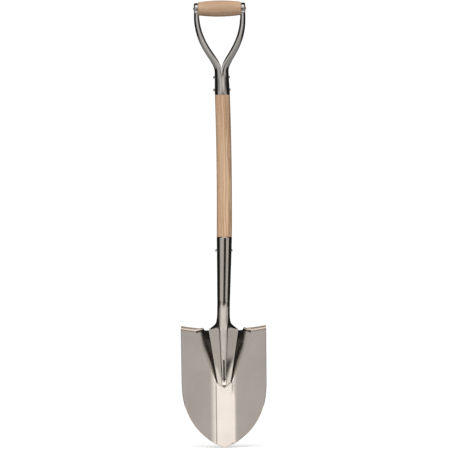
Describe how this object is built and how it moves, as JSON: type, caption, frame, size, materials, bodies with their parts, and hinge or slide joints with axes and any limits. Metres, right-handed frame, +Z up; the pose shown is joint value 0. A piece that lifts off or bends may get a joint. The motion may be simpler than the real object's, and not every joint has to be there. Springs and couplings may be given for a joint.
{
  "type": "garden spade",
  "caption": "Round-point garden spade: dished steel blade with turned treads, strapped tube socket, ash shaft and a split steel yoke with a wooden cross grip.",
  "frame": {"origin": "under the middle of the spade's box, level with the blade's tip", "axes": "+Z up the shaft from tip to grip, -Y out of the blade's hollow face, +X to the right as seen from that face"},
  "size_m": [0.189, 0.0842, 0.9858],
  "materials": {
    "polished_steel": "mirror-polished stainless steel with faint polishing lines",
    "rivet_steel": "satin steel, domed by the rivet set",
    "shaft_wood": "oiled ash, long straight grain",
    "grip_wood": "oiled ash, turned and sanded smooth"
  },
  "bodies": {
    "root": {"blade": "polished_steel", "socket": "polished_steel", "yoke_leg_left": "polished_steel", "yoke_leg_right": "polished_steel", "socket_rivet": "rivet_steel", "yoke_rivet_lower": "rivet_steel", "yoke_rivet_upper": "rivet_steel", "grip_rod": "rivet_steel", "shaft": "shaft_wood", "grip": "grip_wood"}
  },
  "joints": []
}
